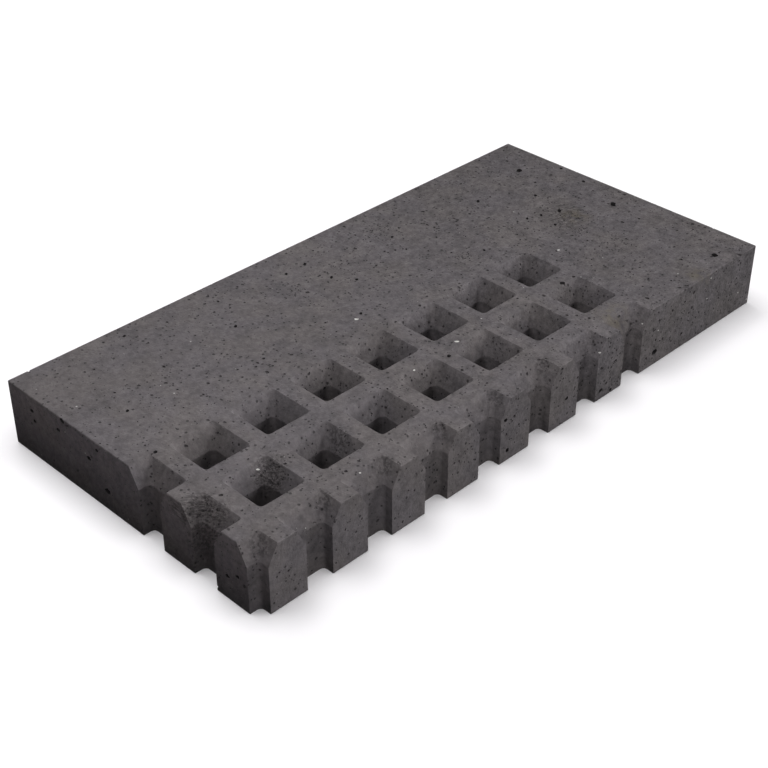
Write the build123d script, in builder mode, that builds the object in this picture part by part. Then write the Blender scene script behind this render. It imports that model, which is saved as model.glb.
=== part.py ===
"""Corner border block of cast concrete, one piece.

A solid border runs along the back and the right end. The rest is a square grid of drainage holes,
whose first column is cut through by the left face and whose first row is cut through by the front face,
so that the block completes the holes of the blocks laid beside it.
Millimetres, +X along the length, +Y to the back, +Z up, origin at the middle of the underside.
"""

import os

from build123d import *

# The block
LENGTH = 595.0
WIDTH = 295.0
HEIGHT = 60.0
ARRIS_RADIUS = 0.8

# The grid of holes, counted without the column and the row that the faces cut
PITCH = 60.0
WHOLE_COLUMNS = 7
WHOLE_ROWS = 2

# How far outside the left and front faces the centres of the cut holes lie
CUT_HOLE_SETBACK = 2.0

# Each hole is a square mouth that narrows like a funnel to a straight square shaft
MOUTH_SIDE = 43.0
MOUTH_CORNER_RADIUS = 3.5
FUNNEL_DEPTH = 17.0
SHAFT_SIDE = 25.0
SHAFT_CORNER_RADIUS = 4.0

# The centre of the hole at the corner where the left and front faces meet, from which the grid counts
first_hole_x = -LENGTH / 2 - CUT_HOLE_SETBACK
first_hole_y = -WIDTH / 2 - CUT_HOLE_SETBACK
shaft_top = HEIGHT - FUNNEL_DEPTH

# The space of one hole, with its mouth in the top face and its axis on the Z axis
with BuildPart() as hole_space:
    with BuildSketch(Plane.XY.offset(shaft_top)):
        RectangleRounded(SHAFT_SIDE, SHAFT_SIDE, SHAFT_CORNER_RADIUS)
    with BuildSketch(Plane.XY.offset(HEIGHT)):
        RectangleRounded(MOUTH_SIDE, MOUTH_SIDE, MOUTH_CORNER_RADIUS)
    loft(ruled=True)
    with BuildSketch(Plane.XY):
        RectangleRounded(SHAFT_SIDE, SHAFT_SIDE, SHAFT_CORNER_RADIUS)
    extrude(amount=shaft_top)

# The block, with its edges eased before the holes are taken out of it
with BuildPart() as corner_border_block:
    Box(LENGTH, WIDTH, HEIGHT, align=(Align.CENTER, Align.CENTER, Align.MIN))
    fillet(corner_border_block.edges(), ARRIS_RADIUS)
    with Locations((first_hole_x, first_hole_y)):
        with GridLocations(
            PITCH, PITCH, WHOLE_COLUMNS + 1, WHOLE_ROWS + 1, align=(Align.MIN, Align.MIN)
        ):
            add(hole_space.part, mode=Mode.SUBTRACT)

corner_border_block.part.label = "corner_border_block"

os.makedirs("parts", exist_ok=True)
export_step(corner_border_block.part, "parts/corner_border_block.step")
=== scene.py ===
"""Looks of the corner border block: anthracite cast concrete with open pores, on a pale studio floor.

Metres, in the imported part's frame: +X along the length, +Y to the back, +Z up,
origin at the middle of the underside. Places read off the photograph are in millimetres.
"""

import math
from collections import namedtuple

import bmesh
import bpy
import numpy as np
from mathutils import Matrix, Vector, noise
from mathutils.bvhtree import BVHTree
from mathutils.kdtree import KDTree


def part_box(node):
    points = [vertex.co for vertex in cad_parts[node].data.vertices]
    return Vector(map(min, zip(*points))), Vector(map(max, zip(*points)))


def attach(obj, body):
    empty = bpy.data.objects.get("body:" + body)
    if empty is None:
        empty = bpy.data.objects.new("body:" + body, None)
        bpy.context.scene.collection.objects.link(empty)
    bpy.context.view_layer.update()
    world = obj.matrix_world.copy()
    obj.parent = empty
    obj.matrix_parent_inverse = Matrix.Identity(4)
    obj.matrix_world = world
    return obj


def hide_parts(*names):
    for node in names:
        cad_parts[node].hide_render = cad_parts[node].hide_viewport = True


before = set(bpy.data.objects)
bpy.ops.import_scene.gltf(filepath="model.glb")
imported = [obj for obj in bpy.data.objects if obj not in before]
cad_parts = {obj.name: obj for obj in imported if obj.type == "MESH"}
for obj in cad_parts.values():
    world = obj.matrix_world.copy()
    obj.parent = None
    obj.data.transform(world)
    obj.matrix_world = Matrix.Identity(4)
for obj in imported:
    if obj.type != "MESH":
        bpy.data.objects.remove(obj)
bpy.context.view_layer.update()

MM = 0.001
BLOCK = "corner_border_block"
low, high = (np.array(corner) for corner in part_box(BLOCK))
size = high - low
LENGTH, WIDTH, HEIGHT = size

# The block's edges and its holes, with the sizes of the solid
ARRIS = 0.8 * MM
ARRIS_STEPS = 3
PITCH = 60.0 * MM
COLUMNS = 8
ROWS = 3
CUT_HOLE_SETBACK = 2.0 * MM
MOUTH_SIDE = 43.0 * MM
MOUTH_CORNER = 3.5 * MM
FUNNEL_DEPTH = 17.0 * MM
SHAFT_SIDE = 25.0 * MM
SHAFT_CORNER = 4.0 * MM
shaft_top = HEIGHT - FUNNEL_DEPTH
first_hole = low[:2] - CUT_HOLE_SETBACK
funnel_slope = (MOUTH_SIDE - SHAFT_SIDE) / FUNNEL_DEPTH

# How the mould left the holes' edges: slightly eased, and nowhere quite straight
LIP = 0.6 * MM
WAIST = 0.4 * MM
UNEVEN = 0.22 * MM
UNEVEN_SPAN = 14.0 * MM
CORNER_STEPS = 5
SIDE_STEPS = 6
PAST_FACE = 2.0 * MM
SMALLEST_EDGE = 0.0001 * MM

# Pores: bubbles left open in the cast skin, few of them large
SMALLEST_PORE = 1.05 * MM
LARGEST_PORE = 2.9 * MM
PORE_SPREAD = 2.0
PORES_PER_M2 = 14000
UNDERSIDE_SHARE = 0.3
PATCHINESS_SPAN = 70.0 * MM
LEFT_SHARE = 0.75
RIGHT_SHARE = 1.15
PLAIN_SHARE = 0.62
PATCHINESS = 0.75
FACING_DOWN = -0.9
PORE_STRETCH = (1.0, 1.5)
PORE_DEPTH = (0.5, 1.4)
LARGE_PORE_DEPTH = 1.7
LARGE_PORE_LIE = (1.0, 1.0, 0.0)

# A pore's space: the corners of its rings, and each ring's height or depth and its width, as shares
SMALL_PORE_SIDES = 6
MIDDLING_PORE = 1.5 * MM
MIDDLING_PORE_SIDES = 8
LARGE_PORE = 2.6 * MM
LARGE_PORE_SIDES = 12
LID_HEIGHT = 0.6
SMALL_LID = 1.15
SMALL_BOWL = ((0.5, 0.82),)
LARGE_LID = 1.06
LARGE_BOWL = ((0.5, 0.94), (0.9, 0.6))
UNEVEN_RADIUS = (0.8, 1.15)
UNEVEN_TURN = 0.25
CLEARANCE = 0.75

# Ranges of a spot's width in mm, its length over its width, and its depth over its radius
PATCH_PORE = ((0.8, 1.5), (1.0, 2.8), (0.8, 1.6))
TORN_STREAK = ((0.7, 1.3), (2.5, 6.0), (0.5, 0.9))
NICK = ((1.0, 2.6), (1.0, 2.0), (0.3, 0.7))

# The photograph's larger pores, in mm: a place on the skin, the width, and the length over the width
LARGE_PORES = (
    (260, 100, 60, 5.2, 1.3),
    (269, -8, 60, 5.4, 1.6),
    (257, -131, 60, 5.4, 1.2),
    (124, -66, 60, 4.6, 1.2),
    (-28, -74, 60, 3.4, 1.2),
    (-11, 115, 60, 3.0, 1.7),
    (-34, 114, 60, 2.7, 1.5),
    (-10, 82, 60, 2.7, 1.7),
    (184, 86, 60, 3.4, 1.5),
    (231, 55, 60, 3.4, 1.2),
    (286, 41, 60, 3.4, 1.2),
    (224, 20, 60, 3.6, 1.5),
    (191, 31, 60, 2.7, 1.7),
    (205, 26, 60, 2.7, 1.8),
    (200, 5, 60, 3.0, 1.3),
    (3, 64, 60, 2.8, 1.2),
    (78, 95, 60, 2.8, 1.3),
    (119, 20, 60, 2.8, 1.2),
    (-33, 22, 60, 2.8, 1.4),
    (-120, 81, 60, 2.8, 1.4),
    (-194, 134, 60, 2.8, 1.2),
    (-256, 48, 60, 2.8, 1.2),
    (-273, -8, 60, 3.0, 1.3),
    (292, 74, 60, 3.2, 1.2),
    (154, -147.5, 13, 4.8, 1.6),
    (94, -147.5, 3, 3.0, 1.3),
    (80, -147.5, 9, 3.6, 1.5),
    (-38, -147.5, 10, 3.8, 1.2),
    (-42, -147.5, 41, 3.2, 1.4),
    (34, -147.5, 24, 3.0, 1.3),
    (-297.5, 24, 19, 4.8, 1.5),
    (-297.5, 44, 39, 3.8, 1.4),
    (-297.5, 117, 46, 3.4, 1.4),
    (-297.5, 115, 37, 3.0, 1.5),
    (-297.5, 75, 58, 3.8, 1.5),
    (-297.5, 82, 46, 3.4, 1.4),
    (-297.5, 32, 53, 3.2, 1.3),
    (-297.5, -115, 22, 3.0, 1.4),
    (-297.5, -126, 28, 3.0, 1.3),
)

# Its rough patches, in mm: the middle, the reach, and how many small pores are in it
ROUGH_PATCHES = (
    (222, 8, 60, 19, 24),
    (203, -17, 60, 12, 24),
    (97, 27, 60, 12, 20),
    (82, 105, 60, 18, 34),
    (22, 92, 60, 24, 30),
    (215, -55, 60, 18, 24),
    (-42, 92, 60, 16, 16),
    (-222, -82, 51, 17, 34),
    (-163, -89, 50, 13, 20),
    (-44, -30, 50, 13, 18),
    (16, -89, 50, 13, 18),
)

# Where the skin tore in streaks, in mm: the middle, the reach, how many streaks, and the way they run
TORN_PATCHES = (
    (-283, -75, 53, 9, 60, (1.0, -0.6, -0.3)),
    (-290, -71, 54, 8, 34, (1.0, -0.7, 0.0)),
    (-281, -90, 53, 9, 26, (0.2, 0.8, -0.5)),
    (-297.5, -65, 51, 8, 18, (0.0, 1.0, 0.1)),
    (-287, -84, 32, 15, 44, (0.3, 0.6, -0.6)),
    (-223, -78, 51, 13, 50, (0.3, 0.6, -0.6)),
    (222, 8, 60, 20, 60, (1.0, -0.5, 0.0)),
)
TORN_WANDER = 0.2
GRAIN_LIE = (1.0, -1.0, 0.0)
GRAIN_DEPTH = 0.12

# Its pale grains, in mm: a place on the skin, the width, and the length over the width
PALE_GRAINS = (
    (-42, 18, 60, 3.0, 1.4),
    (-8, -64, 60, 2.8, 1.6),
    (166, -27, 60, 2.6, 1.4),
    (-62, -68, 60, 1.9, 1.4),
    (-229, -71, 54, 1.6, 2.6),
    (-182, -129, 57, 1.4, 2.0),
    (76, -146, 48, 1.5, 2.2),
    (156, -147.5, 34, 1.3, 1.8),
    (229, -147.5, 55, 1.4, 1.6),
    (227, -147.5, 35, 1.2, 1.6),
    (278, -147.5, 19, 1.3, 1.8),
    (295, -147.5, 5, 1.6, 1.5),
    (136, -144, 48, 1.3, 1.6),
)

# Nicks along the outer edges and the holes' rims, and which way a rim's nick faces: inward and up
EDGE_NICKS = 170
RIM_NICKS = 170
RIM_INWARD = 0.45
RIM_UP = 0.89

# Which edges look sharp
FLAT_NORMAL = 0.9999
FLAT_EDGE = math.radians(1)
SHARP_EDGE = math.radians(35)

# The noise of the hole edges has a seed of its own
SEED = 60
rng = np.random.default_rng(SEED)
noise.seed_set(SEED)
Spot = namedtuple("Spot", "place normal wide stretch depth lie", defaults=(None,))


def new_mesh(name, points, faces):
    """A mesh from a list of points and the faces between them."""
    mesh = bpy.data.meshes.new(name)
    mesh.from_pydata([tuple(p) for p in points], [], faces)
    mesh.update()
    return mesh


def new_object(name, mesh):
    """The mesh as an object of the scene."""
    thing = bpy.data.objects.new(name, mesh)
    bpy.context.scene.collection.objects.link(thing)
    return thing


def carve(target, cutters):
    """Takes the cutters' space out of the target. The faces they leave keep the cutters' materials."""
    tool = new_object("tool", cutters)
    cut = target.modifiers.new("cut", "BOOLEAN")
    cut.operation = "DIFFERENCE"
    cut.solver = "MANIFOLD"
    cut.material_mode = "TRANSFER"
    cut.object = tool
    depsgraph = bpy.context.evaluated_depsgraph_get()
    result = bpy.data.meshes.new_from_object(target.evaluated_get(depsgraph))
    target.modifiers.remove(cut)
    target.data = result
    bpy.data.objects.remove(tool)


def rounded_square(side, corner):
    """Points round a square with rounded corners, with extra points along its sides."""
    inner = side / 2 - corner
    points = []
    for quarter in range(4):
        turn = quarter * math.pi / 2
        diagonal = turn + math.pi / 4
        middle = inner * math.sqrt(2) * np.array([math.cos(diagonal), math.sin(diagonal)])
        for step in range(CORNER_STEPS + 1):
            angle = turn + step / CORNER_STEPS * math.pi / 2
            points.append(middle + corner * np.array([math.cos(angle), math.sin(angle)]))
        start = points[-1]
        end = start - 2 * inner * np.array([math.cos(turn), math.sin(turn)])
        for step in range(1, SIDE_STEPS):
            points.append(start + (end - start) * step / SIDE_STEPS)
    return np.array(points)


def hole_space(centre, points, faces):
    """Adds the closed space of one hole to the lists: a shaft, a funnel above it and an eased lip."""
    levels = [
        (-PAST_FACE, SHAFT_SIDE, SHAFT_CORNER),
        (shaft_top - WAIST, SHAFT_SIDE, SHAFT_CORNER),
        (shaft_top, SHAFT_SIDE + funnel_slope * WAIST / 4, SHAFT_CORNER),
        (shaft_top + WAIST, SHAFT_SIDE + funnel_slope * WAIST, SHAFT_CORNER),
        (HEIGHT - FUNNEL_DEPTH / 2, (SHAFT_SIDE + MOUTH_SIDE) / 2, (SHAFT_CORNER + MOUTH_CORNER) / 2),
        (HEIGHT - LIP, MOUTH_SIDE - funnel_slope * LIP, MOUTH_CORNER),
        (HEIGHT - LIP / 3, MOUTH_SIDE + LIP / 4, MOUTH_CORNER),
        (HEIGHT, MOUTH_SIDE + LIP, MOUTH_CORNER),
        (HEIGHT + PAST_FACE, MOUTH_SIDE + LIP + 4 * PAST_FACE, MOUTH_CORNER + PAST_FACE),
    ]
    first = len(points)
    for z, side, corner in levels:
        for x, y in rounded_square(side, corner) + centre:
            shift = noise.noise_vector(Vector((x, y, z)) / UNEVEN_SPAN) * UNEVEN
            points.append((x + shift.x, y + shift.y, z))
    count = (len(points) - first) // len(levels)
    for level in range(len(levels) - 1):
        ring = first + level * count
        for i in range(count):
            j = (i + 1) % count
            faces.append((ring + i, ring + j, ring + count + j, ring + count + i))
    faces.append(tuple(first + i for i in reversed(range(count))))
    faces.append(tuple(first + (len(levels) - 1) * count + i for i in range(count)))


def hole_centres():
    """The middle of each hole, by column and row."""
    return {(c, r): first_hole + PITCH * np.array([c, r]) for c in range(COLUMNS) for r in range(ROWS)}


def plain_block(material):
    """The block with eased edges and all its holes, before the pores."""
    skin = bmesh.new()
    bmesh.ops.create_cube(skin, size=1.0)
    bmesh.ops.scale(skin, vec=tuple(size), verts=skin.verts)
    bmesh.ops.translate(skin, vec=tuple((low + high) / 2), verts=skin.verts)
    bmesh.ops.bevel(
        skin, geom=skin.edges[:], offset=ARRIS, segments=ARRIS_STEPS, profile=0.5, affect="EDGES"
    )
    mesh = bpy.data.meshes.new(BLOCK)
    skin.to_mesh(mesh)
    skin.free()
    mesh.materials.append(material)
    block = new_object("concrete_block", mesh)
    points = []
    faces = []
    for centre in hole_centres().values():
        hole_space(centre, points, faces)
    holes = new_mesh("holes", points, faces)
    holes.materials.append(material)
    carve(block, holes)
    return block


def pore_space(spot, points, faces):
    """Adds the closed space of one pore to the lists: an uneven bowl with a lid above the surface."""
    sides = SMALL_PORE_SIDES
    lid, bowl = SMALL_LID, SMALL_BOWL
    if spot.wide > MIDDLING_PORE:
        sides = MIDDLING_PORE_SIDES
    if spot.wide > LARGE_PORE:
        sides = LARGE_PORE_SIDES
        lid, bowl = LARGE_LID, LARGE_BOWL
    levels = [(LID_HEIGHT, lid)] + [(-deep * spot.depth, share) for deep, share in bowl]
    radius = spot.wide / 2
    across = np.cross(spot.normal, rng.normal(size=3) if spot.lie is None else spot.lie)
    across /= np.linalg.norm(across)
    along = np.cross(spot.normal, across) * spot.stretch
    outline = rng.uniform(*UNEVEN_RADIUS, sides)
    angles = 2 * math.pi * (np.arange(sides) + rng.uniform(-UNEVEN_TURN, UNEVEN_TURN, sides)) / sides
    rounds = np.outer(np.cos(angles) * outline, across) + np.outer(np.sin(angles) * outline, along)
    first = len(points)
    points.append(spot.place + spot.normal * radius)
    for height, share in levels:
        points.extend(spot.place + spot.normal * radius * height + rounds * radius * share)
    points.append(spot.place - spot.normal * radius * spot.depth)
    last = len(points) - 1
    for i in range(sides):
        j = (i + 1) % sides
        faces.append((first, first + 1 + i, first + 1 + j))
        for level in range(len(levels) - 1):
            ring = first + 1 + level * sides
            faces.append((ring + i, ring + sides + i, ring + sides + j, ring + j))
        ring = first + 1 + (len(levels) - 1) * sides
        faces.append((ring + i, last, ring + j))


def random_width():
    """A pore's width: many small ones and few large ones."""
    rarest = (LARGEST_PORE / SMALLEST_PORE) ** -PORE_SPREAD
    return SMALLEST_PORE * rng.uniform(rarest, 1) ** (-1 / PORE_SPREAD)


def random_pore(place, normal):
    """A pore of random size at this place."""
    return Spot(place, normal, random_width(), rng.uniform(*PORE_STRETCH), rng.uniform(*PORE_DEPTH))


def random_spot(skin, widths, stretches, depths):
    """A spot at a place on the skin, with its shape drawn from the ranges."""
    return Spot(*skin, rng.uniform(*widths) * MM, rng.uniform(*stretches), rng.uniform(*depths))


def scattered_pores(mesh):
    """Pores spread over the whole skin, more in some parts than in others and towards the right end."""
    mesh.calc_loop_triangles()
    corners = np.array([[mesh.vertices[v].co for v in t.vertices] for t in mesh.loop_triangles])
    a, b, c = corners[:, 0], corners[:, 1], corners[:, 2]
    cross = np.cross(b - a, c - a)
    areas = np.linalg.norm(cross, axis=1) / 2
    count = int(areas.sum() * PORES_PER_M2)
    spots = []
    for i in rng.choice(len(areas), size=count, p=areas / areas.sum()):
        u, v = rng.uniform(size=2)
        if u + v > 1:
            u, v = 1 - u, 1 - v
        place = a[i] + (b[i] - a[i]) * u + (c[i] - a[i]) * v
        normal = cross[i] / (2 * areas[i])
        kept = PLAIN_SHARE + PATCHINESS * noise.noise(Vector(place) / PATCHINESS_SPAN)
        kept *= LEFT_SHARE + (RIGHT_SHARE - LEFT_SHARE) * (place[0] - low[0]) / LENGTH
        if normal[2] < FACING_DOWN:
            kept *= UNDERSIDE_SHARE
        if rng.uniform() < kept:
            spots.append(random_pore(place, normal))
    return spots


def on_skin(surface, point):
    """The nearest place on the skin and its normal."""
    place, normal, _, _ = surface.find_nearest(Vector(point))
    return np.array(place), np.array(normal)


def large_pores(surface):
    """The larger pores, each where the photograph shows it."""
    return [
        Spot(*on_skin(surface, np.array(point) * MM), wide * MM, stretch, LARGE_PORE_DEPTH, LARGE_PORE_LIE)
        for *point, wide, stretch in LARGE_PORES
    ]


def near_on_skin(surface, middle, reach):
    """A random place on the skin, near a middle in mm."""
    point = (np.array(middle) + rng.normal(size=3) * reach / 2) * MM
    return on_skin(surface, np.clip(point, low, high))


def patch_pores(surface):
    """The small pores of the rough patches."""
    return [
        random_spot(near_on_skin(surface, middle, reach), *PATCH_PORE)
        for *middle, reach, count in ROUGH_PATCHES
        for _ in range(count)
    ]


def torn_streaks(surface):
    """Long shallow dents, where the skin tore as the mould came off."""
    spots = []
    for *middle, reach, count, lie in TORN_PATCHES:
        for _ in range(count):
            streak = random_spot(near_on_skin(surface, middle, reach), *TORN_STREAK)
            spots.append(streak._replace(lie=np.array(lie) + rng.normal(size=3) * TORN_WANDER))
    return spots


def pale_grains(surface):
    """Grains that lie in the skin, as shallow dishes."""
    return [
        Spot(*on_skin(surface, np.array(point) * MM), wide * MM, stretch, GRAIN_DEPTH, GRAIN_LIE)
        for *point, wide, stretch in PALE_GRAINS
    ]


def nicks():
    """Small nicks along the block's outer edges and the rims of its holes."""
    spots = []
    for _ in range(EDGE_NICKS):
        end = rng.integers(0, 2, 3)
        outward = end * 2.0 - 1.0
        axis = rng.choice(3, p=size / size.sum())
        place = low + size * end
        place[axis] = rng.uniform(low[axis], high[axis])
        outward[axis] = 0.0
        spots.append((place, outward / math.sqrt(2)))
    centres = list(hole_centres().values())
    for _ in range(RIM_NICKS):
        side = np.array([[1, 0], [0, 1], [-1, 0], [0, -1]][rng.integers(4)])
        along = np.array([-side[1], side[0]]) * rng.uniform(-0.5, 0.5)
        place = np.append(centres[rng.integers(len(centres))] + (side * 0.5 + along) * MOUTH_SIDE, HEIGHT)
        if (place >= low).all() and (place <= high).all():
            spots.append((place, np.append(-side * RIM_INWARD, RIM_UP)))
    return [random_spot(skin, *NICK) for skin in spots]


def in_rounds(spots):
    """The spots in rounds, so that no two spaces of one round touch."""
    reach = [spot.wide * spot.stretch * CLEARANCE for spot in spots]
    widest = max(reach)
    near = KDTree(len(spots))
    for i, spot in enumerate(spots):
        near.insert(spot.place, i)
    near.balance()
    rounds = []
    round_of = {}
    for i, spot in enumerate(spots):
        taken = set()
        for _, j, gap in near.find_range(spot.place, reach[i] + widest):
            if j in round_of and gap < reach[i] + reach[j]:
                taken.add(round_of[j])
        round_of[i] = min(set(range(len(taken) + 1)) - taken)
        if round_of[i] == len(rounds):
            rounds.append([])
        rounds[round_of[i]].append(spot)
    return rounds


def open_spots(block, spots, material):
    """Carves the spots, a round at a time, with this material on their walls."""
    for together in in_rounds(spots):
        points = []
        faces = []
        for spot in together:
            pore_space(spot, points, faces)
        spaces = new_mesh("spaces", points, faces)
        spaces.materials.append(material)
        carve(block, spaces)


def set_shading(mesh):
    """Smooth shading, but sharp at real edges, at the pores' rims and round the flat outer faces."""
    skin = bmesh.new()
    skin.from_mesh(mesh)
    bmesh.ops.dissolve_degenerate(skin, dist=SMALLEST_EDGE, edges=skin.edges)
    flat = {}
    for face in skin.faces:
        face.smooth = True
        flat[face] = max(abs(n) for n in face.normal) > FLAT_NORMAL
    for edge in skin.edges:
        if len(edge.link_faces) != 2:
            continue
        one, other = edge.link_faces
        angle = one.normal.angle(other.normal, 0.0)
        at_flat = (flat[one] or flat[other]) and angle > FLAT_EDGE
        at_rim = one.material_index != other.material_index
        edge.smooth = not (at_flat or at_rim or angle > SHARP_EDGE)
    skin.to_mesh(mesh)
    skin.free()


# Materials
CONCRETE = (0.104, 0.0946, 0.1004)
WARM_CONCRETE = (0.1056, 0.0951, 0.0964)
# The pores' walls: painted shade, darker than the skin and darkest in the large pores
PORE_SHADE_COLOUR = (0.056, 0.0505, 0.0528)
DEEP_PORE_SHADE_COLOUR = (0.022, 0.02, 0.021)
PALE_GRAIN = (0.55, 0.54, 0.52)
STAIN = (0.124, 0.105, 0.07)
FLOOR_COLOUR = (0.95, 0.935, 0.955, 1.0)
CARD_COLOUR = (0.3, 0.3, 0.3, 1.0)
# Painted shade: the colour of the dark card that stands for the floor's shadow round the block's foot
FOOT_SHADE_COLOUR = (0.03, 0.03, 0.03, 1.0)
REFLECTOR_COLOUR = (0.9, 0.84, 0.87, 1.0)
MATTE = 0.92
SHEEN_OF_SKIN = 0.2

# Layers of noise: the grain's size in mm, its detail, and how much it varies the tone, or the height in mm
GRAIN_ROUGHNESS = 0.55
TONE_LAYERS = ((90, 2, 0.26), (30, 2, 0.46), (11, 2, 0.68), (4.5, 2, 0.98), (1.8, 1, 0.34))
RELIEF_LAYERS = ((6, 2, 0.3), (2.2, 2, 0.37), (0.9, 1, 0.08))

# How strong the mottle is at either end, and the patches of warmer hue
LEFT_MOTTLE = 0.78
RIGHT_MOTTLE = 1.12
HUE_SPAN = 45
HUE_RANGE = (0.35, 0.65)
GLOSS_SPAN = 5
GLOSS_RANGE = (0.3, 0.7)
ROUGHNESS = (0.84, 0.98)

# Fine sand, which shows more towards the right end
SAND_SPAN = 1.4
LEFT_SAND = 0.1
RIGHT_SAND = 0.8

# Round spots in cells of this size in mm, the largest ones' radius, and how few and how soft they are
SPOT_RARITY = 3.0
SMALLEST_SPOT = 0.3
SPOT_GROWTH = 0.9
SPOT_OUTER = 1.2
SPOT_INNER = 0.6
FINE_PORE_CELL = 4.0
FINE_PORE_RADIUS = 1.15
FINE_PORE_DEPTH = 0.4
FINE_PORE_SHADE = 0.6
PORE_SHADE_SPAN = 1.2
PALE_GRAIN_SPAN = 1.0
GRAINY = 0.5
SPECK_CELL = 8.0
SPECK_RADIUS = 0.7
SPECK_SHARE = 0.2
SPECK_STRENGTH = 0.55

# Stains, and the holes' corners with painted shade, in mm: the middle and the reach
STAIN_SPAN = 9
STAIN_RANGE = (0.35, 0.6)
STAINS = ((117, -129, 58, 24), (219, -142, 60, 18), (226, 2, 60, 20))
STAIN_STRENGTH = 0.5
SHADED_HOLE_CORNERS = (
    (-283, -134, 53, 14),
    (-161, -86, 53, 17),
    (-160, -134, 55, 12),
    (-220, -133, 55, 12),
    (-101, -133, 55, 11),
    (-41, -133, 55, 11),
    (20, -132, 56, 11),
)
# The grain and the strength of the painted shade at the holes' corners
CORNER_SHADE_SPAN = 2.4
CORNER_SHADE_RANGE = (0.6, 0.38)
CORNER_SHADE_CORE = 0.3
CORNER_SHADE_STRENGTH = 0.43

# The torn patches' streaks, in mm, and where a patch begins and is at its full strength over its reach
TORN_OUTER = 1.7
TORN_INNER = 0.5
TORN_RANGE = (0.36, 0.64)
TORN_SPAN = 1.7
TORN_LONG = 7.0
# Painted shade in the streaks' grooves and painted highlight on their ridges, as shares of the tone
TORN_GROOVE_SHADE = 0.42
TORN_RIDGE_HIGHLIGHT = 0.12
TORN_DEPTH = 0.7


def add_node(tree, kind, inputs, **settings):
    """A new node with its settings made, and its inputs set or linked."""
    made = tree.nodes.new("ShaderNode" + kind)
    for name, value in settings.items():
        setattr(made, name, value)
    for name, value in inputs.items():
        if isinstance(value, bpy.types.NodeSocket):
            tree.links.new(value, made.inputs[name])
        else:
            made.inputs[name].default_value = value
    return made


def maths(tree, operation, *values):
    """The result of one step of arithmetic."""
    return add_node(tree, "Math", dict(enumerate(values)), operation=operation).outputs[0]


def remap(tree, value, from_low, from_high, to_low=0.0, to_high=1.0):
    """The value moved smoothly from one range to another."""
    ends = {"From Min": from_low, "From Max": from_high, "To Min": to_low, "To Max": to_high}
    return add_node(tree, "MapRange", {"Value": value, **ends}, interpolation_type="SMOOTHSTEP").outputs[0]


def blend_colours(tree, share, first, second):
    """The first colour where the share is 0, and the second where it is 1."""
    mix = add_node(tree, "Mix", {0: share, 6: first, 7: second}, data_type="RGBA")
    return mix.outputs[2]


def grain(tree, place, span, detail):
    """Noise from 0 to 1 with grains of this size in mm."""
    inputs = {"Vector": place, "Scale": 1 / span, "Detail": detail, "Roughness": GRAIN_ROUGHNESS}
    return add_node(tree, "TexNoise", inputs).outputs[0]


def layers_of_grain(tree, place, layers, middle):
    """The middle value, varied by each layer."""
    total = middle
    for span, detail, strength in layers:
        varied = maths(tree, "MULTIPLY_ADD", grain(tree, place, span, detail), strength, -strength / 2)
        total = maths(tree, "ADD", varied, total)
    return total


def round_spots(tree, place, cell, radius, share=1.0):
    """1 inside small round spots of several sizes, which lie in a share of the cells, and 0 elsewhere."""
    cells = add_node(tree, "TexVoronoi", {"Vector": place, "Scale": 1 / cell})
    parts = add_node(tree, "SeparateColor", {0: cells.outputs["Color"]})
    few_large = maths(tree, "POWER", parts.outputs[0], SPOT_RARITY)
    smallest = SMALLEST_SPOT * radius / cell
    edge = maths(tree, "MULTIPLY_ADD", few_large, SPOT_GROWTH * radius / cell, smallest)
    outer = maths(tree, "MULTIPLY", edge, SPOT_OUTER)
    inner = maths(tree, "MULTIPLY", edge, SPOT_INNER)
    spots = remap(tree, cells.outputs["Distance"], outer, inner)
    if share == 1.0:
        return spots
    return maths(tree, "MULTIPLY", spots, maths(tree, "LESS_THAN", parts.outputs[1], share))


def new_material(name):
    """A matte material, with its node tree and its place on the object in mm."""
    material = bpy.data.materials.new(name)
    material.use_nodes = True
    tree = material.node_tree
    shader = tree.nodes["Principled BSDF"]
    shader.inputs["Roughness"].default_value = MATTE
    shader.inputs["Specular IOR Level"].default_value = SHEEN_OF_SKIN
    coordinates = add_node(tree, "TexCoord", {}).outputs["Object"]
    place = add_node(tree, "VectorMath", {0: coordinates, "Scale": 1 / MM}, operation="SCALE")
    return material, tree, shader, place.outputs[0]


def distance_to(tree, place, middle):
    """How far the place is from a middle, in mm."""
    return add_node(tree, "VectorMath", {0: place, 1: middle}, operation="DISTANCE").outputs["Value"]


def stained(tree, place, colour):
    """The colour with the faint rusty stains."""
    for *middle, reach in STAINS:
        gap = distance_to(tree, place, middle)
        near = remap(tree, gap, reach, 0.0, 0.0, STAIN_STRENGTH)
        clouds = remap(tree, grain(tree, place, STAIN_SPAN, 2), *STAIN_RANGE)
        cloudy = maths(tree, "MULTIPLY", near, clouds)
        colour = blend_colours(tree, cloudy, colour, (*STAIN, 1.0))
    return colour


def streaks(tree, place, lie):
    """Noise from 0 to 1 drawn out one way."""
    way = Vector(lie).normalized()
    along = add_node(tree, "VectorMath", {0: place, 1: way}, operation="DOT_PRODUCT").outputs["Value"]
    less = maths(tree, "MULTIPLY", along, TORN_SPAN / TORN_LONG - 1.0)
    drawn = add_node(tree, "VectorMath", {0: way, "Scale": less}, operation="SCALE").outputs[0]
    squeezed = add_node(tree, "VectorMath", {0: place, 1: drawn}, operation="ADD").outputs[0]
    return grain(tree, squeezed, TORN_SPAN, 2)


def torn_skin(tree, place):
    """How much painted highlight on the streaks' ridges and painted shade in their grooves, and how much
    higher or lower in mm, the torn patches give the skin.
    """
    tone = 1.0
    height = 0.0
    for *middle, reach, _, lie in TORN_PATCHES:
        gap = distance_to(tree, place, middle)
        near = remap(tree, gap, TORN_OUTER * reach, TORN_INNER * reach)
        streak = streaks(tree, place, lie)
        change = remap(tree, streak, *TORN_RANGE, -TORN_GROOVE_SHADE, TORN_RIDGE_HIGHLIGHT)
        tone = maths(tree, "MULTIPLY_ADD", near, change, tone)
        height = maths(tree, "MULTIPLY_ADD", near, maths(tree, "MULTIPLY", streak, TORN_DEPTH), height)
    return tone, height


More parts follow.
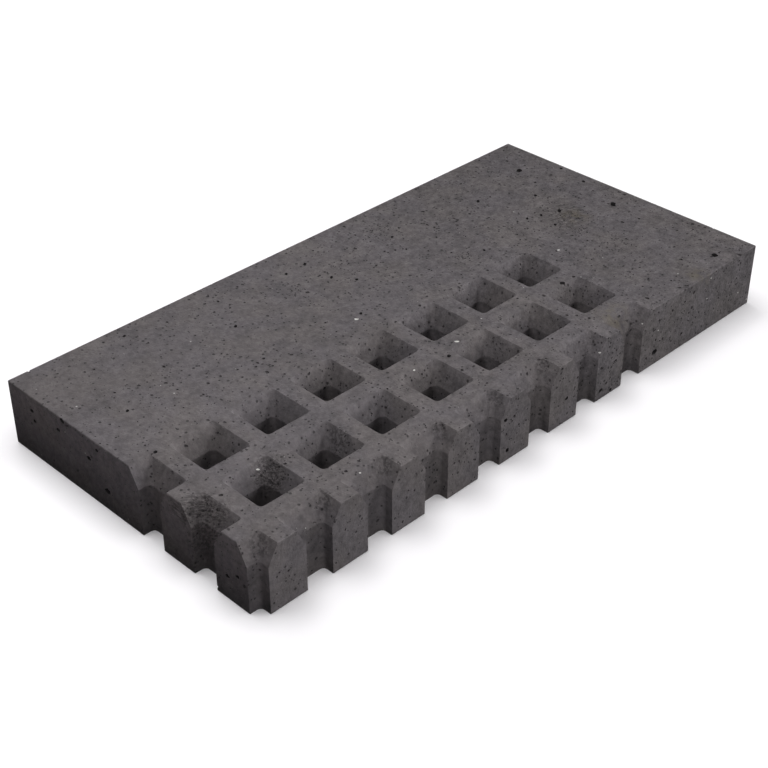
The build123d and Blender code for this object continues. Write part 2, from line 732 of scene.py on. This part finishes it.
def painted_corner_shade(tree, place):
    """How much painted shade darkens the holes' corners, in grainy patches."""
    near = 0.0
    for *middle, reach in SHADED_HOLE_CORNERS:
        gap = distance_to(tree, place, middle)
        near = maths(tree, "MAXIMUM", near, remap(tree, gap, reach, CORNER_SHADE_CORE * reach))
    darker = remap(tree, grain(tree, place, CORNER_SHADE_SPAN, 2), *CORNER_SHADE_RANGE, 0.0, -CORNER_SHADE_STRENGTH)
    return maths(tree, "MULTIPLY_ADD", near, darker, 1.0)


def concrete_skin():
    """Anthracite concrete: mottled and sandy, with fine pores, torn patches, specks and faint stains; painted
    shade in the fine pores, in the torn streaks' grooves and at the holes' corners, and painted highlight on
    the torn streaks' ridges.
    """
    material, tree, shader, place = new_material("anthracite_concrete")
    pores = round_spots(tree, place, FINE_PORE_CELL, FINE_PORE_RADIUS)
    along = add_node(tree, "SeparateXYZ", {0: place}).outputs["X"]
    mottle = remap(tree, along, low[0] / MM, high[0] / MM, LEFT_MOTTLE, RIGHT_MOTTLE)
    tone = maths(tree, "MULTIPLY_ADD", layers_of_grain(tree, place, TONE_LAYERS, 0.0), mottle, 1.0)
    sandy = remap(tree, along, low[0] / MM, high[0] / MM, LEFT_SAND, RIGHT_SAND)
    sand = maths(tree, "SUBTRACT", grain(tree, place, SAND_SPAN, 1), 0.5)
    tone = maths(tree, "MULTIPLY_ADD", sand, sandy, tone)
    # Painted shade in the fine pores, which the bump below also dents
    tone = maths(tree, "MULTIPLY", tone, maths(tree, "MULTIPLY_ADD", pores, -FINE_PORE_SHADE, 1.0))
    torn_light_and_shade, torn_height = torn_skin(tree, place)
    # The torn patches' painted highlight and shade follow their bumped streaks
    tone = maths(tree, "MULTIPLY", tone, torn_light_and_shade)
    # Painted shade in grainy patches at the holes' corners
    tone = maths(tree, "MULTIPLY", tone, painted_corner_shade(tree, place))
    warmth = remap(tree, grain(tree, place, HUE_SPAN, 2), *HUE_RANGE)
    hue = blend_colours(tree, warmth, (*CONCRETE, 1.0), (*WARM_CONCRETE, 1.0))
    colour = add_node(tree, "VectorMath", {0: hue, "Scale": tone}, operation="SCALE").outputs[0]
    specks = round_spots(tree, place, SPECK_CELL, SPECK_RADIUS, SPECK_SHARE)
    specks = maths(tree, "MULTIPLY", specks, SPECK_STRENGTH)
    colour = blend_colours(tree, specks, stained(tree, place, colour), (*PALE_GRAIN, 1.0))
    tree.links.new(colour, shader.inputs["Base Color"])
    roughness = remap(tree, grain(tree, place, GLOSS_SPAN, 2), *GLOSS_RANGE, *ROUGHNESS)
    tree.links.new(roughness, shader.inputs["Roughness"])
    relief = layers_of_grain(tree, place, RELIEF_LAYERS, torn_height)
    relief = maths(tree, "MULTIPLY_ADD", pores, -FINE_PORE_DEPTH, relief)
    bump = add_node(tree, "Bump", {"Height": relief, "Distance": MM})
    tree.links.new(bump.outputs[0], shader.inputs["Normal"])
    return material


def grainy_material(name, colour, span):
    """One colour with grains of this size in mm, for the painted shade inside the pores and for the pale
    quartz.
    """
    material, tree, shader, place = new_material(name)
    tone = layers_of_grain(tree, place, ((span, 1, GRAINY),), 1.0)
    varied = add_node(tree, "VectorMath", {0: colour, "Scale": tone}, operation="SCALE").outputs[0]
    tree.links.new(varied, shader.inputs["Base Color"])
    return material


def plain_material(name, colour):
    """A matte material of one colour, for the stage."""
    material, _, shader, _ = new_material(name)
    shader.inputs["Base Color"].default_value = colour
    shader.inputs["Specular IOR Level"].default_value = 0.0
    return material


# The map that the materials are baked on: flat panels side by side on a square sheet
SHEET_SIDE = 700.0 * MM
PANEL_GAP = 2.0 * MM
UNDERSIDE_SCALE = 0.5
WALL_SCALE = 0.66
MAP_NAME = "OFBake"


def map_panels():
    """Each panel's two directions, its place and size on the block, and its scale on the sheet."""
    x, y, z = np.eye(3)
    panels = {
        "top": (x, y, low, (LENGTH, WIDTH), 1.0),
        "underside": (x, y, low, (LENGTH, WIDTH), UNDERSIDE_SCALE),
        "front": (x, z, low, (LENGTH, HEIGHT), 1.0),
        "back": (x, z, low, (LENGTH, HEIGHT), 1.0),
        "left": (y, z, low, (WIDTH, HEIGHT), 1.0),
        "right": (y, z, low, (WIDTH, HEIGHT), 1.0),
    }
    wide = MOUTH_SIDE + LIP
    for hole, centre in hole_centres().items():
        start = np.append(centre - wide / 2, low[2])
        for side, along in (("left", y), ("right", y), ("front", x), ("back", x)):
            panels[(*hole, side)] = (along, z, start, (wide, HEIGHT), WALL_SCALE)
    return panels


def tallest_first(item):
    """Sorts a panel by its height on the sheet."""
    *_, (_, tall), scale = item[1]
    return -tall * scale


def lay_out(panels):
    """The corner of each panel on the sheet, the highest panels first."""
    free = [(0.0, 0.0, SHEET_SIDE, SHEET_SIDE)]
    corners = {}
    for name, (*_, (wide, tall), scale) in sorted(panels.items(), key=tallest_first):
        wide = wide * scale + PANEL_GAP
        tall = tall * scale + PANEL_GAP
        fits = [space for space in free if space[2] >= wide and space[3] >= tall]
        x, y, room_wide, room_tall = fits[0]
        free.remove(fits[0])
        corners[name] = np.array([x, y]) + PANEL_GAP / 2
        free.append((x + wide, y, room_wide - wide, tall))
        free.append((x, y + tall, room_wide, room_tall - tall))
    return corners


def nearest_panels(middles):
    """The name of the panel whose surface is nearest to each place."""
    cells = np.clip(np.rint((middles[:, :2] - first_hole) / PITCH), 0, (COLUMNS - 1, ROWS - 1)).astype(int)
    out = middles[:, :2] - first_hole - PITCH * cells
    half = (SHAFT_SIDE + funnel_slope * np.maximum(0.0, middles[:, 2] - shaft_top)) / 2
    to_wall = abs(abs(out).max(axis=1) - half)
    gaps = np.column_stack([high[2] - middles[:, 2], middles - low, high[:2] - middles[:, :2], to_wall])
    flat_names = ("top", "left", "front", "underside", "right", "back")
    names = []
    for nearest, cell, (x, y) in zip(gaps.argmin(axis=1), cells, out):
        if nearest < len(flat_names):
            names.append(flat_names[nearest])
        elif abs(x) > abs(y):
            names.append((*cell, "right" if x > 0 else "left"))
        else:
            names.append((*cell, "back" if y > 0 else "front"))
    return names


def add_bake_map(mesh):
    """Lays each face flat on the panel of the surface it belongs to."""
    panels = map_panels()
    nearest = nearest_panels(np.array([face.center for face in mesh.polygons]))
    used = set(nearest)
    corners = lay_out({name: panel for name, panel in panels.items() if name in used})
    points = np.array([vertex.co for vertex in mesh.vertices])
    layer = mesh.uv_layers.new(name=MAP_NAME)
    for face, name in zip(mesh.polygons, nearest):
        across, up, start, extent, scale = panels[name]
        places = points[list(face.vertices)] - start
        flat = np.clip(np.column_stack([places @ across, places @ up]), 0, extent)
        for corner, spot in zip(face.loop_indices, (corners[name] + flat * scale) / SHEET_SIDE):
            layer.data[corner].uv = spot


# Camera and stage
LENS = 71.777
CAMERA_HEADING = math.radians(45.082)
CAMERA_ELEVATION = math.radians(34.726)
CAMERA_DISTANCE = 1.24743
CAMERA_TARGET = Vector((-0.06216, -0.03441, 0.03))
FLOOR_SIDE = 40.0
CARD_DROP = 1.0 * MM
FOOT_DROP = 0.5 * MM
FOOT_REACH = 70.0 * MM
REFLECTOR_DROP = 0.7 * MM
REFLECTOR_LONG = 1.0
REFLECTOR_WIDE = 1.4

# Soft lights: the azimuth and elevation in degrees, the distance and side in metres, and the power in watts
BLOCK_LIGHTS = (
    ("left_high", 285, 66, 0.95, 0.6, 3.8),
    ("left_top", 290, 75, 0.95, 0.6, 1.65),
    ("back_right_high", 140, 60, 6.0, 3.2, 22),
    ("back_low", 158, 5, 4.0, 0.8, 82),
    ("front_right", 52, 38, 6.0, 1.2, 156),
    ("right_low", 74, 12, 6.0, 1.2, 198),
    ("left_low", 335, 22, 1.8, 1.0, 3.9),
    ("front_near", 346, 15, 0.96, 0.18, 1.45),
)
FLOOR_LIGHTS = (
    ("floor_back", 190, 55, 4.0, 3.2, 12),
    ("floor_back_high", 170, 60, 3.5, 1.5, 18),
    ("floor_left", 225, 65, 3.5, 1.5, 15),
    ("floor_front", 20, 60, 4.0, 3.2, 22),
)
SKY_SPREAD = 58
SKY_STRENGTH = 2.38
ROOM_BRIGHTNESS = 0.75


def place_camera():
    """The photograph's view."""
    forward = Vector(
        (
            math.sin(CAMERA_HEADING) * math.cos(CAMERA_ELEVATION),
            math.cos(CAMERA_HEADING) * math.cos(CAMERA_ELEVATION),
            -math.sin(CAMERA_ELEVATION),
        )
    )
    camera = bpy.data.objects.new("camera", bpy.data.cameras.new("camera"))
    camera.data.lens = LENS
    camera.location = CAMERA_TARGET - forward * CAMERA_DISTANCE
    camera.rotation_euler = forward.to_track_quat("-Z", "Y").to_euler()
    bpy.context.scene.collection.objects.link(camera)
    bpy.context.scene.camera = camera


def stage_sheet(name, colour, drop, long=FLOOR_SIDE, wide=FLOOR_SIDE):
    """A level sheet of the stage, a little below the block's foot."""
    x, y = long / 2, wide / 2
    mesh = new_mesh(name, [(-x, -y, 0), (x, -y, 0), (x, y, 0), (-x, y, 0)], [(0, 1, 2, 3)])
    mesh.materials.append(plain_material(name, colour))
    sheet = new_object(name, mesh)
    sheet.location.z = -drop
    return sheet


def group_of(name, *things):
    """A collection that lights can be limited to."""
    group = bpy.data.collections.new(name)
    for thing in things:
        group.objects.link(thing)
    return group


def place_floor():
    """A pale floor for the camera, and cards under it that throw light back on the block.

    They throw back less than the floor would, least at the block's foot, where a dark card stands for the
    floor's shadow there: painted shade. A reflector at the left throws more.
    """
    floor = stage_sheet("pale_floor", FLOOR_COLOUR, 0.0)
    floor.visible_diffuse = False
    floor.visible_glossy = False
    floor.visible_shadow = False
    reach = 2 * FOOT_REACH
    cards = [
        stage_sheet("grey_card", CARD_COLOUR, CARD_DROP),
        # A dark card round the foot: painted shade for the floor's shadow
        stage_sheet("foot_shade_card", FOOT_SHADE_COLOUR, FOOT_DROP, LENGTH + reach, WIDTH + reach),
        stage_sheet("reflector", REFLECTOR_COLOUR, REFLECTOR_DROP, REFLECTOR_LONG, REFLECTOR_WIDE),
    ]
    cards[-1].location.x = low[0] - FOOT_REACH - REFLECTOR_LONG / 2
    for card in cards:
        card.visible_camera = False
    return floor, cards


def softbox(name, lit, azimuth, elevation, distance, side, power):
    """A square soft light that faces the block. Azimuth 0 is the front, and 90 the right end."""
    light = bpy.data.lights.new(name, "AREA")
    light.shape = "SQUARE"
    light.size = side
    light.energy = power
    lamp = bpy.data.objects.new(name, light)
    turn = math.radians(azimuth)
    rise = math.radians(elevation)
    towards = Vector((math.sin(turn) * math.cos(rise), -math.cos(turn) * math.cos(rise), math.sin(rise)))
    lamp.location = towards * distance
    lamp.rotation_euler = (-towards).to_track_quat("-Z", "Y").to_euler()
    lamp.light_linking.receiver_collection = lit
    bpy.context.scene.collection.objects.link(lamp)


def wide_sky(name, lit, spread, strength):
    """An even soft light from above on one group."""
    light = bpy.data.lights.new(name, "SUN")
    light.angle = math.radians(spread)
    light.energy = strength
    lamp = bpy.data.objects.new(name, light)
    lamp.light_linking.receiver_collection = lit
    bpy.context.scene.collection.objects.link(lamp)


def light_room(on_block, on_floor):
    """Soft light from several sides, and a pale room that only the camera sees."""
    for name, *setting in BLOCK_LIGHTS:
        softbox(name, on_block, *setting)
    wide_sky("floor_all_round", on_floor, SKY_SPREAD, SKY_STRENGTH)
    for name, *setting in FLOOR_LIGHTS:
        softbox(name, on_floor, *setting)
    world = bpy.data.worlds.new("room")
    bpy.context.scene.world = world
    world.use_nodes = True
    background = world.node_tree.nodes["Background"]
    background.inputs["Color"].default_value = FLOOR_COLOUR
    background.inputs["Strength"].default_value = ROOM_BRIGHTNESS
    world.cycles_visibility.diffuse = False
    world.cycles_visibility.glossy = False
    bpy.context.scene.view_settings.view_transform = "Standard"


block = plain_block(concrete_skin())
surface = BVHTree.FromObject(block, bpy.context.evaluated_depsgraph_get())
pores = patch_pores(surface) + scattered_pores(block.data)
open_spots(block, nicks() + torn_streaks(surface), block.data.materials[0])
# The pores' walls carry painted shade, and the large pores' walls are darker still
open_spots(block, pores, grainy_material("pore_wall_painted_shade", PORE_SHADE_COLOUR, PORE_SHADE_SPAN))
deep_pore_shade = grainy_material("deep_pore_painted_shade", DEEP_PORE_SHADE_COLOUR, PORE_SHADE_SPAN)
open_spots(block, large_pores(surface), deep_pore_shade)
open_spots(block, pale_grains(surface), grainy_material("pale_grain", PALE_GRAIN, PALE_GRAIN_SPAN))
set_shading(block.data)
add_bake_map(block.data)
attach(block, "root")
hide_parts(BLOCK)

place_camera()
floor, cards = place_floor()
light_room(group_of("on_block", block, *cards), group_of("on_floor", floor))
